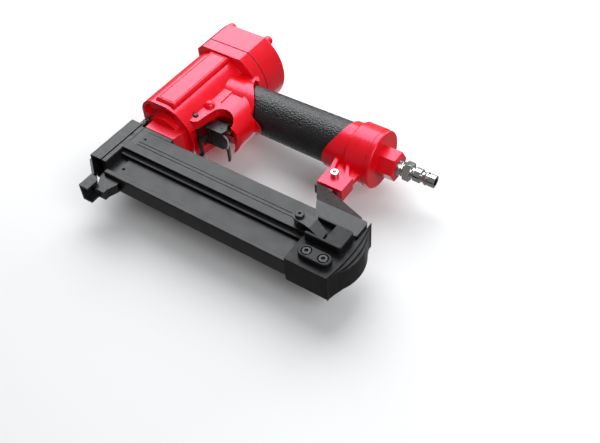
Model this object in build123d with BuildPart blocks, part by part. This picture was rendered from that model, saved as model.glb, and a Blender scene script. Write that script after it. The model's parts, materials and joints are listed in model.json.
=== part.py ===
"""Pneumatic brad nailer and stapler, as an assembly of separate pieces.

Row frame, in millimetres: the driver axis is the Z axis and the nose tip is at Z = 0.
+Z points up the barrel to the cylinder cap, +X points back along the handle to the
air plug, and +Y is the tool's right side.
"""
from build123d import *
import math
import os

os.makedirs("parts", exist_ok=True)

# ----------------------------------------------------------------------------
# Driving dimensions
# ----------------------------------------------------------------------------
GAP = 0.05            # running clearance, on the radius
SNUG = 0.1            # clearance between pieces that are bolted together

# Barrel and cylinder, all round the driver axis
BARREL_X = (-26.0, 27.0)
BARREL_Y = 29.0
BARREL_CORNER = 15.0
BARREL_Z = 84.0       # lower rim of the barrel
RIM_WALL = 2.6
RIM_TOP_Z = 88.0      # top of the hollows beside the boss
SEAT_R = 18.9         # round boss under the liner
SEAT_Z = 79.5
ARM_POCKET_Z = 91.5
CHAMBER_R = 23.5      # return air chamber in the casting
CHAMBER_Z = 103.0
FLANGE_Z = 162.0
FLANGE_TOP_Z = 173.5
GASKET_T = 1.0
CAP_Z = FLANGE_TOP_Z + GASKET_T
CAP_TOP_Z = 200.5
CAP_R = 38.6          # round back of the cap
CAP_FRONT_X = -26.5
CAP_Y = 33.0          # half width of the cap
BOLT_HEAD_H = 6.6
BOLT_X, BOLT_Y = 20.0, 27.0
BOLT_R = 3.0
PANEL_X = (-11.0, 9.5)
PANEL_Y = 31.5
PANEL_Z = 87.8
PANEL_FRAME = 2.3     # groove's distance from the panel's edge
PANEL_GROOVE = (0.6, 0.5)     # width and depth of the groove

LINER_R = 16.0
LINER_OUT_R = 18.0
LINER_Z = (82.0, 162.0)
COLLAR_Z = (122.0, 128.0)
PISTON_Z = (150.0, 160.0)
PISTON_R = LINER_R - GAP
STEM_R = 4.5
STEM_Z = 143.0
BLADE_T, BLADE_W = 1.3, 6.0
BLADE_Z = 68.0        # blade tip with the piston at the top
BUMPER_R = 8.4
BUMPER_Z = (74.0, 81.8)

# Head valve and exhaust
POST_R = 8.0
HEAD_R = 22.0
HEAD_Z = 162.05
HEAD_WEB_Z = (168.0, 172.0)
HEAD_TOP_Z = 186.0
CAP_CEILING_Z = 192.0
DEFLECTOR_R = 18.5
DEFLECTOR_Z = (200.6, 213.0)

# Handle, round an axis parallel to X
HANDLE_Z = 148.0
HANDLE_R = 16.5
AIRWAY_R = 13.5
GRIP_R = (19.0, 20.5)     # at the neck and at the rear
GRIP_END_X = 142.0
RING_R, RING_X = 22.5, 148.0
DRUM_R, DRUM_X = 25.0, 166.0
END_CAP_X = 171.0
HEX_AF, HEX_X = 22.0, 186.0
PLUG_BORE_R = 15.0

# Neck and trigger
NECK_Y = 18.5
CHIN_X = 40.5         # where the chin starts to round off
TRIGGER_SLOT_Y = 10.5
TRIGGER_PIVOT = (21.5, 98.0)
TRIGGER_Y = 9.0
SHEET = 1.6
LEVER_PIVOT = (42.5, 105.0)
LEVER_Y = 6.0
VALVE_X = 36.0
VALVE_R = 7.0
SLOT_CEILING_Z = 119.0

# Lug that carries the magazine bracket
LUG_X = (142.0, 164.5)
LUG_Z = (96.7, 113.2)
LUG_Y = 6.2
BRACKET_SCREW = (150.5, 108.7)

# Nose
BOSS_Y = 12.5
BOSS_Z = 70.0
GUIDE_FRONT_X = -11.0
GUIDE_REAR_X = 8.0
NOSE_PLATE_T = 5.0
GUIDE_SCREW_X = 3.75      # middle of the four guide screws
GUIDE_SCREW_PITCH = (20.5, 17.4)
CONTACT_TRAVEL = 6.0

# Magazine, along X
MAG_Y = 13.0
MAG_TOP_Z = 66.5
MAG_BOTTOM_Z = 38.3
MAG_FRONT_X = -10.9
MAG_END_X = 167.5
RAIL_Y = 4.0
SLIDE_BOTTOM_Z = 15.0
TAIL_END_X = 203.3
TAIL_TOP_Z = 56.0
BRACKET_T = 2.0
LATCH_PIVOT = (159.0, 49.0)
TAIL_SCREW_X = (180.0, 194.0)
TAIL_SCREW_Z = 26.0
PUSHER_X = (10.0, 34.0)
ROD_Z = 51.0


def cap_outline(grow=0.0):
    """Outline of the cap and of its flange: a circle cut flat in front and at both sides."""
    with BuildSketch() as outline:
        Circle(CAP_R + grow)
        with Locations((CAP_FRONT_X - grow, 0)):
            Rectangle(3 * CAP_R, 2 * (CAP_Y + grow), align=(Align.MIN, Align.CENTER), mode=Mode.INTERSECT)
    return outline.sketch


def barrel_outline(inset=0.0):
    """Plan of the barrel: flat in front with round corners, and half an ellipse behind."""
    front, side, back = BARREL_X[0] + inset, BARREL_Y - inset, BARREL_X[1] - inset
    corner = BARREL_CORNER - inset
    turn = corner * (1 - math.sqrt(0.5))
    with BuildSketch() as outline:
        with BuildLine():
            EllipticalCenterArc((0, 0), back, side, start_angle=-90, arc_size=180)
            Line((0, side), (front + corner, side))
            ThreePointArc((front + corner, side), (front + turn, side - turn), (front, side - corner))
            Line((front, side - corner), (front, corner - side))
            ThreePointArc((front, corner - side), (front + turn, turn - side), (front + corner, -side))
            Line((front + corner, -side), (0, -side))
        make_face()
    return outline.sketch


def ring_section(r_in, r_out, z_low, z_high):
    """Turned ring section, as a face in the XZ plane."""
    with BuildSketch(Plane.XZ) as section:
        with Locations(((r_in + r_out) / 2, (z_low + z_high) / 2)):
            Rectangle(r_out - r_in, z_high - z_low)
    return section.sketch


def coil(mean_r, wire_r, low, high, turns):
    """Compression spring round the Z axis between two heights of its wire's centre line."""
    pitch = (high - low) / turns
    with BuildPart() as spring:
        with BuildLine() as path:
            Helix(pitch=pitch, height=high - low, radius=mean_r, center=(0, 0, low))
        with BuildSketch(Plane(origin=path.line @ 0, z_dir=path.line % 0)):
            Circle(wire_r)
        sweep()
    return spring.part


def socket_screw(head_r, head_h, shank_r, length, hex_af):
    """Hex socket screw: head on top of Z = 0, shank below it."""
    with BuildPart() as screw:
        Cylinder(shank_r, length, align=(Align.CENTER, Align.CENTER, Align.MAX))
        Cylinder(head_r, head_h, align=(Align.CENTER, Align.CENTER, Align.MIN))
        chamfer(screw.faces().sort_by(Axis.Z)[-1].edges(), length=0.4)
        with BuildSketch(Plane.XY.offset(head_h)):
            RegularPolygon(hex_af / 2, 6, major_radius=False)
        extrude(amount=-0.6 * head_h, mode=Mode.SUBTRACT)
    return screw.part


# Edges of the grip seen from the side, from the top down: the front edge with the neck's rear
# below it, and the rear edge with the ring behind it
GRIP_FRONT = [(36.3, 161.4), (44.3, 148), (50.7, 140), (54.3, 133), (54, 129.5)]
NECK_REAR = [(66, 127), (71, 112)]
GRIP_TOP_X = 39.2     # front of the grip where it passes behind the flange
GRIP_REAR = [(141.5, 172), (139.6, 156), (138.2, 147), (136.6, 139.5), (131.2, 130.2), (125, 124)]


def grip_region(shift=0.0):
    """Everything behind the slanted front edge of the grip."""
    with BuildPart() as region:
        with BuildSketch(Plane.XZ):
            with BuildLine():
                edge = Spline(*[(x + shift, z) for x, z in GRIP_FRONT])
                Polyline(edge @ 1, *NECK_REAR, (230, 112), (230, 182), (GRIP_TOP_X + shift, 182),
                         (GRIP_TOP_X + shift, GRIP_FRONT[0][1]), edge @ 0)
            make_face()
        extrude(amount=40, both=True)
    return region.part


def ring_region(shift=0.0):
    """Everything behind the slanted rear edge of the grip."""
    with BuildPart() as region:
        with BuildSketch(Plane.XZ):
            with BuildLine():
                edge = Spline(*[(x + shift, z) for x, z in GRIP_REAR])
                Polyline(edge @ 1, (RING_X, 124), (RING_X, 172), edge @ 0)
            make_face()
        extrude(amount=40, both=True)
    return region.part


# ----------------------------------------------------------------------------
# Gun body: barrel, neck, handle and lug in one casting
# ----------------------------------------------------------------------------
NECK_OUTLINE = [(4, 171), (33, 171), (47, 158), (60, 140), (61, 122), (60, 110), (57, 105), (52.6, 104.3)]
EAR_OUTLINE = [(31, 112), (29.5, 105), (27.5, 93), (24, 90.5), (16, 90.5), (4, 94)]

with BuildPart() as neck:
    with BuildSketch(Plane.XZ):
        with BuildLine():
            Polyline(*NECK_OUTLINE)
            Spline((52.6, 104.3), (51.5, 109), (46, 115.2), (38, 116.6), (31, 112))
            Polyline(*EAR_OUTLINE, (4, 171))
        make_face()
    extrude(amount=NECK_Y, both=True)
    side_edges = neck.faces().sort_by(Axis.Y)[0].edges() + neck.faces().sort_by(Axis.Y)[-1].edges()
    fillet(side_edges.filter_by(GeomType.LINE).filter_by(lambda e: e.center().Z > 120), radius=5)
    for side in (-1, 1):
        with BuildSketch(Plane.XZ.offset(-side * NECK_Y)):
            with BuildLine():
                Polyline((28, 158), (40, 158), (42, 126), (33, 118), (29, 122), (28, 158))
            make_face()
        extrude(amount=side * 0.9, mode=Mode.SUBTRACT)
    # Chin rounded in plan
    with BuildSketch(Plane.XY.offset(90)):
        with Locations((CHIN_X + 20, 0)):
            Rectangle(40, 50)
        with Locations((CHIN_X, 0)):
            Circle(NECK_Y, mode=Mode.SUBTRACT)
    extrude(amount=75, mode=Mode.SUBTRACT)
    add(grip_region(), mode=Mode.SUBTRACT)

with BuildPart() as collar:
    with BuildSketch(Plane.YZ.offset(8)):
        with Locations((0, HANDLE_Z)):
            Circle(GRIP_R[0] + 2.0)
    extrude(amount=90)
    with BuildSketch(Plane.XY.offset(FLANGE_Z)):
        Rectangle(200, 60)
    extrude(amount=20, mode=Mode.SUBTRACT)
    add(grip_region(), mode=Mode.SUBTRACT)

with BuildPart() as ring:
    with BuildSketch(Plane.YZ.offset(GRIP_REAR[-1][0])):
        with Locations((0, HANDLE_Z)):
            Circle(RING_R)
    extrude(amount=RING_X - GRIP_REAR[-1][0])
    add(ring_region(), mode=Mode.INTERSECT)

with BuildPart() as gun_body:
    # Barrel with a raised, bevelled panel on each side
    with BuildSketch(Plane.XY.offset(BARREL_Z)):
        add(barrel_outline())
    extrude(amount=FLANGE_Z - BARREL_Z)
    with BuildSketch(Plane.XZ):
        with Locations(((PANEL_X[0] + PANEL_X[1]) / 2, (PANEL_Z + FLANGE_Z) / 2)):
            Rectangle(PANEL_X[1] - PANEL_X[0], FLANGE_Z - PANEL_Z)
    extrude(amount=PANEL_Y, both=True)
    panel_faces = gun_body.faces().filter_by(Axis.Y)
    chamfer(panel_faces.sort_by(Axis.Y)[0].edges() + panel_faces.sort_by(Axis.Y)[-1].edges(), length=1.5)
    for side in (-1, 1):
        with BuildSketch(Plane.XZ.offset(side * PANEL_Y)):
            with Locations((sum(PANEL_X) / 2, (PANEL_Z + FLANGE_Z) / 2)):
                Rectangle(PANEL_X[1] - PANEL_X[0] - 2 * PANEL_FRAME, FLANGE_Z - PANEL_Z - 2 * PANEL_FRAME)
                Rectangle(PANEL_X[1] - PANEL_X[0] - 2 * (PANEL_FRAME + PANEL_GROOVE[0]),
                          FLANGE_Z - PANEL_Z - 2 * (PANEL_FRAME + PANEL_GROOVE[0]), mode=Mode.SUBTRACT)
        extrude(amount=-side * PANEL_GROOVE[1], mode=Mode.SUBTRACT)
    # Boss under the barrel that carries the nose
    with BuildSketch(Plane.XZ):
        with BuildLine():
            Polyline((-16, 96), (-15.5, 88), (-11, 77), (-10.9, BOSS_Z), (19, BOSS_Z), (21, 80), (21, 96),
                     (-16, 96))
        make_face()
    extrude(amount=BOSS_Y, both=True)
    with BuildSketch(Plane.XY.offset(SEAT_Z)):
        Circle(SEAT_R)
    extrude(amount=BARREL_Z - SEAT_Z)
    # Flange under the cap
    with BuildSketch(Plane.XY.offset(FLANGE_Z)):
        add(cap_outline())
    extrude(amount=FLANGE_TOP_Z - FLANGE_Z)
    flange_sides = gun_body.edges().filter_by(Axis.Z).filter_by(
        lambda e: e.center().Z > FLANGE_Z and math.hypot(e.center().X, e.center().Y) > 36)
    fillet(flange_sides, radius=1.5)
    # Neck with the two trigger ears, and the round collar at the front of the grip
    add(neck.part)
    add(collar.part)
    for side in (-1, 1):
        with Locations((23.5, side * (NECK_Y - 0.5), 114)):
            Sphere(5)
    # Handle tube, rear ring and drum
    with BuildSketch(Plane.YZ.offset(20)):
        with Locations((0, HANDLE_Z)):
            Circle(HANDLE_R)
    extrude(amount=DRUM_X - 20)
    add(ring.part)
    with BuildSketch(Plane.YZ.offset(RING_X - 1.5)):
        with Locations((0, HANDLE_Z)):
            Circle(DRUM_R)
    extrude(amount=DRUM_X - RING_X + 1.5)
    drum_edges = gun_body.edges().filter_by(GeomType.CIRCLE).filter_by(
        lambda e: abs(e.radius - DRUM_R) < 0.1 and e.center().X < RING_X)
    chamfer(drum_edges, length=2.4)
    # Lug with its web and two stiffening ribs
    with BuildSketch(Plane.XZ):
        with Locations(((LUG_X[0] + LUG_X[1]) / 2, (LUG_Z[0] + LUG_Z[1]) / 2)):
            Rectangle(LUG_X[1] - LUG_X[0], LUG_Z[1] - LUG_Z[0])
    extrude(amount=LUG_Y, both=True)
    with BuildSketch(Plane.XZ):
        with BuildLine():
            Polyline((139, 129), (143, 112), (164, 112), (165, 129), (139, 129))
        make_face()
    extrude(amount=2.2, both=True)
    with BuildSketch(Plane.XZ):
        with BuildLine():
            Polyline((139, 130), (141.8, 130), (147, 112), (143.2, 112), (139, 130))
        make_face()
        with BuildLine():
            Polyline((148, 130), (151, 130), (161.5, 112), (158.2, 112), (148, 130))
        make_face()
    extrude(amount=LUG_Y, both=True)
    # Bores from the top: cap bolts, chamber, liner seat, bumper seat and stem hole
    with BuildSketch(Plane.XY.offset(CHAMBER_Z)):
        Circle(CHAMBER_R)
    extrude(amount=FLANGE_TOP_Z - CHAMBER_Z, mode=Mode.SUBTRACT)
    with BuildSketch(Plane.XY.offset(LINER_Z[0])):
        Circle(LINER_OUT_R + GAP)
    extrude(amount=CHAMBER_Z - LINER_Z[0], mode=Mode.SUBTRACT)
    with BuildSketch(Plane.XY.offset(BUMPER_Z[0])):
        Circle(BUMPER_R + SNUG)
    extrude(amount=LINER_Z[0] - BUMPER_Z[0], mode=Mode.SUBTRACT)
    with BuildSketch(Plane.XY.offset(BOSS_Z)):
        Circle(STEM_R + 0.7)
    extrude(amount=BUMPER_Z[0] - BOSS_Z, mode=Mode.SUBTRACT)
    with Locations((0, 0, FLANGE_TOP_Z)):
        with GridLocations(2 * BOLT_X, 2 * BOLT_Y, 2, 2):
            Hole(radius=BOLT_R + GAP, depth=FLANGE_TOP_Z - FLANGE_Z - 1.5)
    # Hollows under the barrel's rim beside the boss, and a pocket for the safety's upper arm
    with BuildSketch(Plane.XY.offset(BARREL_Z)):
        add(barrel_outline(inset=RIM_WALL))
        Circle(SEAT_R + 1.7, mode=Mode.SUBTRACT)
        Rectangle(60, 2 * BOSS_Y + 2.2, mode=Mode.SUBTRACT)
        with Locations((20, 0)):
            Rectangle(20, 60, mode=Mode.SUBTRACT)
    extrude(amount=RIM_TOP_Z - BARREL_Z, mode=Mode.SUBTRACT)
    with BuildSketch(Plane.XY.offset(BARREL_Z)):
        with Locations((-21.7, 0)):
            Rectangle(4.4, 15.2)
    extrude(amount=ARM_POCKET_Z - BARREL_Z, mode=Mode.SUBTRACT)
    # Slot for the trigger, valve bore, airway and end cap bore
    with BuildSketch(Plane.XZ):
        with BuildLine():
            Polyline((18.9, 85), (18.9, 101.5), (25.3, 101.5), (25.3, 112), (27, SLOT_CEILING_Z),
                     (50, SLOT_CEILING_Z), (53, 112), (54, 104), (66, 103.5), (66, 85), (18.9, 85))
        make_face()
    extrude(amount=TRIGGER_SLOT_Y, both=True, mode=Mode.SUBTRACT)
    with BuildSketch(Plane.XY.offset(SLOT_CEILING_Z - 1)):
        with Locations((VALVE_X, 0)):
            Circle(VALVE_R)
    extrude(amount=HANDLE_Z - SLOT_CEILING_Z - 5, mode=Mode.SUBTRACT)
    with BuildSketch(Plane.YZ.offset(20)):
        with Locations((0, HANDLE_Z)):
            Circle(AIRWAY_R)
    extrude(amount=DRUM_X - 20, mode=Mode.SUBTRACT)
    with BuildSketch(Plane.YZ.offset(DRUM_X)):
        with Locations((0, HANDLE_Z)):
            Circle(PLUG_BORE_R + GAP)
    extrude(amount=-12, mode=Mode.SUBTRACT)
    # Trigger pin hole, with a spot face for each of its heads
    with BuildSketch(Plane.XZ):
        with Locations(TRIGGER_PIVOT):
            Circle(1.5 + GAP)
    extrude(amount=NECK_Y + 1, both=True, mode=Mode.SUBTRACT)
    for side in (-1, 1):
        with BuildSketch(Plane.XZ.offset(side * NECK_Y)):
            with Locations(TRIGGER_PIVOT):
                Circle(2.6)
        extrude(amount=side * 4, mode=Mode.SUBTRACT)
    # Slot in the lug for the bracket's tongue, and the screw hole across it
    with BuildSketch(Plane.XZ):
        with BuildLine():
            Polyline((LUG_X[0] - 1, LUG_Z[0] - 1), (LUG_X[0] - 1, 112.4), (160.3, 112.4),
                     (160.3, LUG_Z[0] - 1), (LUG_X[0] - 1, LUG_Z[0] - 1))
        make_face()
    extrude(amount=BRACKET_T / 2 + GAP, both=True, mode=Mode.SUBTRACT)
    with BuildSketch(Plane.XZ):
        with Locations(BRACKET_SCREW):
            Circle(2.0 + GAP)
    extrude(amount=LUG_Y + 1, both=True, mode=Mode.SUBTRACT)
    # Holes for the four screws that hold the driver guide
    with Locations((GUIDE_SCREW_X, 0, BOSS_Z)):
        with GridLocations(*GUIDE_SCREW_PITCH, 2, 2):
            Cylinder(1.75 + GAP, 10, align=(Align.CENTER, Align.CENTER, Align.MIN), mode=Mode.SUBTRACT)
gun_body.part.label = "gun_body"
export_step(gun_body.part, "parts/gun_body.step")

# ----------------------------------------------------------------------------
# Cap end: gasket, cap, bolts, exhaust deflector and head valve
# ----------------------------------------------------------------------------
with BuildPart() as cap_gasket:
    with BuildSketch(Plane.XY.offset(FLANGE_TOP_Z)):
        add(cap_outline(grow=-0.3))
        Circle(CHAMBER_R, mode=Mode.SUBTRACT)
        with GridLocations(2 * BOLT_X, 2 * BOLT_Y, 2, 2):
            Circle(BOLT_R + GAP, mode=Mode.SUBTRACT)
    extrude(amount=GASKET_T)
cap_gasket.part.label = "cap_gasket"
export_step(cap_gasket.part, "parts/cap_gasket.step")

with BuildPart() as cylinder_cap:
    with BuildSketch(Plane.XY.offset(CAP_Z)):
        add(cap_outline())
    extrude(amount=CAP_TOP_Z - CAP_Z)
    fillet(cylinder_cap.edges().filter_by(Axis.Z), radius=1.5)
    fillet(cylinder_cap.faces().sort_by(Axis.Z)[-1].edges(), radius=1.2)
    with BuildSketch(Plane.XY.offset(CAP_Z)):
        Circle(HEAD_R)
    extrude(amount=CAP_CEILING_Z - CAP_Z, mode=Mode.SUBTRACT)
    # Hollow exhaust post, and the ports that lead up to the deflector
    with BuildSketch(Plane.XY.offset(HEAD_WEB_Z[0] + 1)):
        Circle(POST_R)
        Circle(5.5, mode=Mode.SUBTRACT)
    extrude(amount=CAP_CEILING_Z - HEAD_WEB_Z[0])
    with BuildSketch(Plane.XY.offset(CAP_CEILING_Z - 1)):
        Circle(5.5)
    extrude(amount=4, mode=Mode.SUBTRACT)
    with Locations((0, 0, CAP_TOP_Z)):
        with PolarLocations(3.9, 4, start_angle=45):
            Hole(radius=1.3, depth=8)
        with GridLocations(2 * BOLT_X, 2 * BOLT_Y, 2, 2):
            Hole(radius=BOLT_R + GAP)
        Hole(radius=1.5 + GAP, depth=8)
cylinder_cap.part.label = "cylinder_cap"
export_step(cylinder_cap.part, "parts/cylinder_cap.step")

with BuildPart() as cap_bolts:
    with BuildSketch(Plane.XY.offset(FLANGE_Z + 2)):
        with GridLocations(2 * BOLT_X, 2 * BOLT_Y, 2, 2):
            Circle(BOLT_R)
    extrude(amount=CAP_TOP_Z - FLANGE_Z - 2)
    with BuildSketch(Plane.XY.offset(CAP_TOP_Z)):
        with GridLocations(2 * BOLT_X, 2 * BOLT_Y, 2, 2):
            Circle(4.2)
    extrude(amount=BOLT_HEAD_H)
    fillet(cap_bolts.faces().filter_by(Axis.Z).group_by(Axis.Z)[-1].edges(), radius=3.0)
cap_bolts.part.label = "cap_bolts"
export_step(cap_bolts.part, "parts/cap_bolts.step")

with BuildPart() as exhaust_deflector:
    with BuildSketch(Plane.XY.offset(DEFLECTOR_Z[0])):
        Circle(DEFLECTOR_R)
    extrude(amount=DEFLECTOR_Z[1] - DEFLECTOR_Z[0])
    fillet(exhaust_deflector.faces().sort_by(Axis.Z)[-1].edges(), radius=3.0)
    with BuildSketch(Plane.XY.offset(DEFLECTOR_Z[0])):
        Circle(DEFLECTOR_R - 3)
        with Locations((-12, 0)):
            Rectangle(16, 14)
        Circle(3, mode=Mode.SUBTRACT)
    extrude(amount=9, mode=Mode.SUBTRACT)
    with Locations((0, 0, DEFLECTOR_Z[1])):
        Hole(radius=1.5 + GAP)
exhaust_deflector.part.label = "exhaust_deflector"
export_step(exhaust_deflector.part, "parts/exhaust_deflector.step")

with BuildPart() as deflector_screw:
    with Locations((0, 0, DEFLECTOR_Z[1])):
        add(socket_screw(3.0, 2.0, 1.5, 18.0, 2.5))
deflector_screw.part.label = "deflector_screw"
export_step(deflector_screw.part, "parts/deflector_screw.step")

with BuildPart() as head_valve:
    with BuildSketch(Plane.XZ):
        with BuildLine():
            Polyline((15, HEAD_Z), (21, HEAD_Z), (21, 176), (HEAD_R - GAP, 176), (HEAD_R - GAP, HEAD_TOP_Z),
                     (17.5, HEAD_TOP_Z), (17.5, HEAD_WEB_Z[1]), (POST_R + GAP, HEAD_WEB_Z[1]),
                     (POST_R + GAP, HEAD_WEB_Z[0]), (15, HEAD_WEB_Z[0]), (15, HEAD_Z))
        make_face()
    revolve(axis=Axis.Z)
    with BuildSketch(Plane.XZ):
        add(ring_section(20.3, HEAD_R + 1, 179.6, 182.2))
    revolve(axis=Axis.Z, mode=Mode.SUBTRACT)
head_valve.part.label = "head_valve"
export_step(head_valve.part, "parts/head_valve.step")

with BuildPart() as head_valve_ring:
    add(ring_section(20.35, HEAD_R - 0.02, 179.7, 182.1))
    revolve(axis=Axis.Z)
    fillet(head_valve_ring.edges(), radius=0.5)
head_valve_ring.part.label = "head_valve_ring"
export_step(head_valve_ring.part, "parts/head_valve_ring.step")

with BuildPart() as head_valve_spring:
    add(coil(12.5, 0.9, HEAD_WEB_Z[1] + 1.0, CAP_CEILING_Z - 1.0, 4))
head_valve_spring.part.label = "head_valve_spring"
export_step(head_valve_spring.part, "parts/head_valve_spring.step")

# ----------------------------------------------------------------------------
# Cylinder liner, piston and driver blade
# ----------------------------------------------------------------------------
with BuildPart() as cylinder_liner:
    with BuildSketch(Plane.XZ):
        add(ring_section(LINER_R, LINER_OUT_R, *LINER_Z))
        add(ring_section(LINER_OUT_R - 0.5, CHAMBER_R - SNUG, *COLLAR_Z))
    revolve(axis=Axis.Z)
    with BuildSketch(Plane.XZ):
        add(ring_section(21.6, CHAMBER_R + 1, 123.8, 126.2))
        add(ring_section(17.0, LINER_OUT_R + 1, 88.0, 90.0))
    revolve(axis=Axis.Z, mode=Mode.SUBTRACT)
    # Return air ports
    with BuildSketch(Plane.XY.offset(106)):
        with PolarLocations(17, 8):
            Rectangle(4, 2.4)
    extrude(amount=2.4, mode=Mode.SUBTRACT)
cylinder_liner.part.label = "cylinder_liner"
export_step(cylinder_liner.part, "parts/cylinder_liner.step")

with BuildPart() as liner_seals:
    with BuildSketch(Plane.XZ):
        add(ring_section(21.65, CHAMBER_R - 0.01, 123.9, 126.1))
        add(ring_section(17.05, LINER_OUT_R + GAP - 0.01, 88.1, 89.9))
    revolve(axis=Axis.Z)
liner_seals.part.label = "liner_seals"
export_step(liner_seals.part, "parts/liner_seals.step")

with BuildPart() as bumper:
    add(ring_section(STEM_R + 0.7, BUMPER_R, *BUMPER_Z))
    revolve(axis=Axis.Z)
    fillet(bumper.edges().group_by(Axis.Z)[-1], radius=0.8)
bumper.part.label = "bumper"
export_step(bumper.part, "parts/bumper.step")

with BuildPart() as piston:
    with BuildSketch(Plane.XZ):
        with BuildLine():
            Polyline((0, STEM_Z), (STEM_R, STEM_Z), (STEM_R, PISTON_Z[0]), (PISTON_R, PISTON_Z[0]),
                     (PISTON_R, PISTON_Z[1]), (0, PISTON_Z[1]), (0, STEM_Z))
        make_face()
    revolve(axis=Axis.Z)
    chamfer(piston.faces().sort_by(Axis.Z)[-1].edges(), length=0.6)
    with BuildSketch(Plane.XZ):
        add(ring_section(14.2, PISTON_R + 1, 153.6, 156.2))
    revolve(axis=Axis.Z, mode=Mode.SUBTRACT)
    with BuildSketch(Plane.XY.offset(STEM_Z - 1)):
        Rectangle(BLADE_T + 0.1, BLADE_W + 0.1)
    extrude(amount=7, mode=Mode.SUBTRACT)
    with BuildSketch(Plane.YZ):
        with Locations((0, 145.6)):
            Circle(1.0 + GAP)
    extrude(amount=STEM_R + 1, both=True, mode=Mode.SUBTRACT)
piston.part.label = "piston"
export_step(piston.part, "parts/piston.step")

with BuildPart() as piston_ring:
    add(ring_section(14.25, LINER_R - 0.02, 153.7, 156.1))
    revolve(axis=Axis.Z)
piston_ring.part.label = "piston_ring"
export_step(piston_ring.part, "parts/piston_ring.step")

with BuildPart() as driver_blade:
    with BuildSketch(Plane.XY.offset(BLADE_Z)):
        Rectangle(BLADE_T, BLADE_W)
    extrude(amount=148.5 - BLADE_Z)
    with BuildSketch(Plane.YZ):
        with Locations((0, 145.6)):
            Circle(1.0 + GAP)
    extrude(amount=2, both=True, mode=Mode.SUBTRACT)
driver_blade.part.label = "driver_blade"
export_step(driver_blade.part, "parts/driver_blade.step")

with BuildPart() as driver_pin:
    with BuildSketch(Plane.YZ):
        with Locations((0, 145.6)):
            Circle(1.0)
    extrude(amount=STEM_R - 0.2, both=True)
driver_pin.part.label = "driver_pin"
export_step(driver_pin.part, "parts/driver_pin.step")

# ----------------------------------------------------------------------------
# Handle: soft grip, end cap, seal and air plug
# ----------------------------------------------------------------------------
with BuildPart() as grip_sleeve:
    with BuildSketch(Plane.YZ.offset(20)):
        with Locations((0, HANDLE_Z)):
            Circle(GRIP_R[0])
    with BuildSketch(Plane.YZ.offset(GRIP_END_X)):
        with Locations((0, HANDLE_Z)):
            Circle(GRIP_R[1])
    loft()
    with BuildSketch(Plane.YZ.offset(10)):
        with Locations((0, HANDLE_Z)):
            Circle(HANDLE_R + SNUG)
    extrude(amount=140, mode=Mode.SUBTRACT)
    add(grip_region(shift=0.25), mode=Mode.INTERSECT)
    add(ring_region(shift=-0.2), mode=Mode.SUBTRACT)
grip_sleeve.part.label = "grip_sleeve"
export_step(grip_sleeve.part, "parts/grip_sleeve.step")

with BuildPart() as handle_end_cap:
    with BuildSketch(Plane.YZ.offset(DRUM_X + SNUG)):
        with Locations((0, HANDLE_Z)):
            Circle(DRUM_R - 0.3)
    extrude(amount=END_CAP_X - DRUM_X - SNUG)
    fillet(handle_end_cap.faces().sort_by(Axis.X)[-1].edges(), radius=1.6)
    with BuildSketch(Plane.YZ.offset(DRUM_X - 11)):
        with Locations((0, HANDLE_Z)):
            Circle(PLUG_BORE_R)
    extrude(amount=12)
    with BuildSketch(Plane.YZ.offset(DRUM_X - 6.2)):
        with Locations((0, HANDLE_Z)):
            Circle(PLUG_BORE_R + 1)
            Circle(13.4, mode=Mode.SUBTRACT)
    extrude(amount=2.4, mode=Mode.SUBTRACT)
    with BuildSketch(Plane.YZ.offset(END_CAP_X - 1)):
        with Locations((0, HANDLE_Z)):
            RegularPolygon(HEX_AF / 2, 6, major_radius=False, rotation=30)
    extrude(amount=HEX_X - END_CAP_X + 1)
    chamfer(handle_end_cap.faces().sort_by(Axis.X)[-1].edges(), length=0.8)
    with BuildSketch(Plane.YZ.offset(DRUM_X - 12)):
        with Locations((0, HANDLE_Z)):
            Circle(6.5 + GAP)
    extrude(amount=40, mode=Mode.SUBTRACT)
handle_end_cap.part.label = "handle_end_cap"
export_step(handle_end_cap.part, "parts/handle_end_cap.step")

with BuildPart() as end_cap_seal:
    with BuildSketch(Plane.YZ.offset(DRUM_X - 6.1)):
        with Locations((0, HANDLE_Z)):
            Circle(PLUG_BORE_R + GAP - 0.01)
            Circle(13.45, mode=Mode.SUBTRACT)
    extrude(amount=2.2)
end_cap_seal.part.label = "end_cap_seal"
export_step(end_cap_seal.part, "parts/end_cap_seal.step")

# Plug outline: distance along the handle axis, then radius
PLUG_OUTLINE = [(177, 6.5), (186.5, 6.5), (187, 5.6), (188, 6.3), (189, 5.6), (190, 6.3), (191, 5.6),
                (191.8, 6.3), (197.8, 6.3), (198.2, 4.6), (200, 4.6), (200.8, 5.9), (206.2, 5.9),
                (207.2, 4.4), (208.6, 4.4), (210.6, 5.6), (211.6, 5.6), (212.6, 4.1), (213.4, 5.2),
                (218.4, 5.2)]
with BuildPart() as air_plug:
    with BuildSketch(Plane.XZ):
        with BuildLine():
            Polyline((177, HANDLE_Z), *[(x, HANDLE_Z + r) for x, r in PLUG_OUTLINE], (218.4, HANDLE_Z),
                     (177, HANDLE_Z))
        make_face()
    revolve(axis=Axis((0, 0, HANDLE_Z), (1, 0, 0)))
    with BuildSketch(Plane.YZ.offset(192)):
        with Locations((0, HANDLE_Z)):
            RegularPolygon(7.0, 6, major_radius=False, rotation=12)
    extrude(amount=5.6)
    with BuildSketch(Plane.YZ.offset(176)):
        with Locations((0, HANDLE_Z)):
            Circle(3.3)
    extrude(amount=50, mode=Mode.SUBTRACT)
air_plug.part.label = "air_plug"
export_step(air_plug.part, "parts/air_plug.step")

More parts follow.
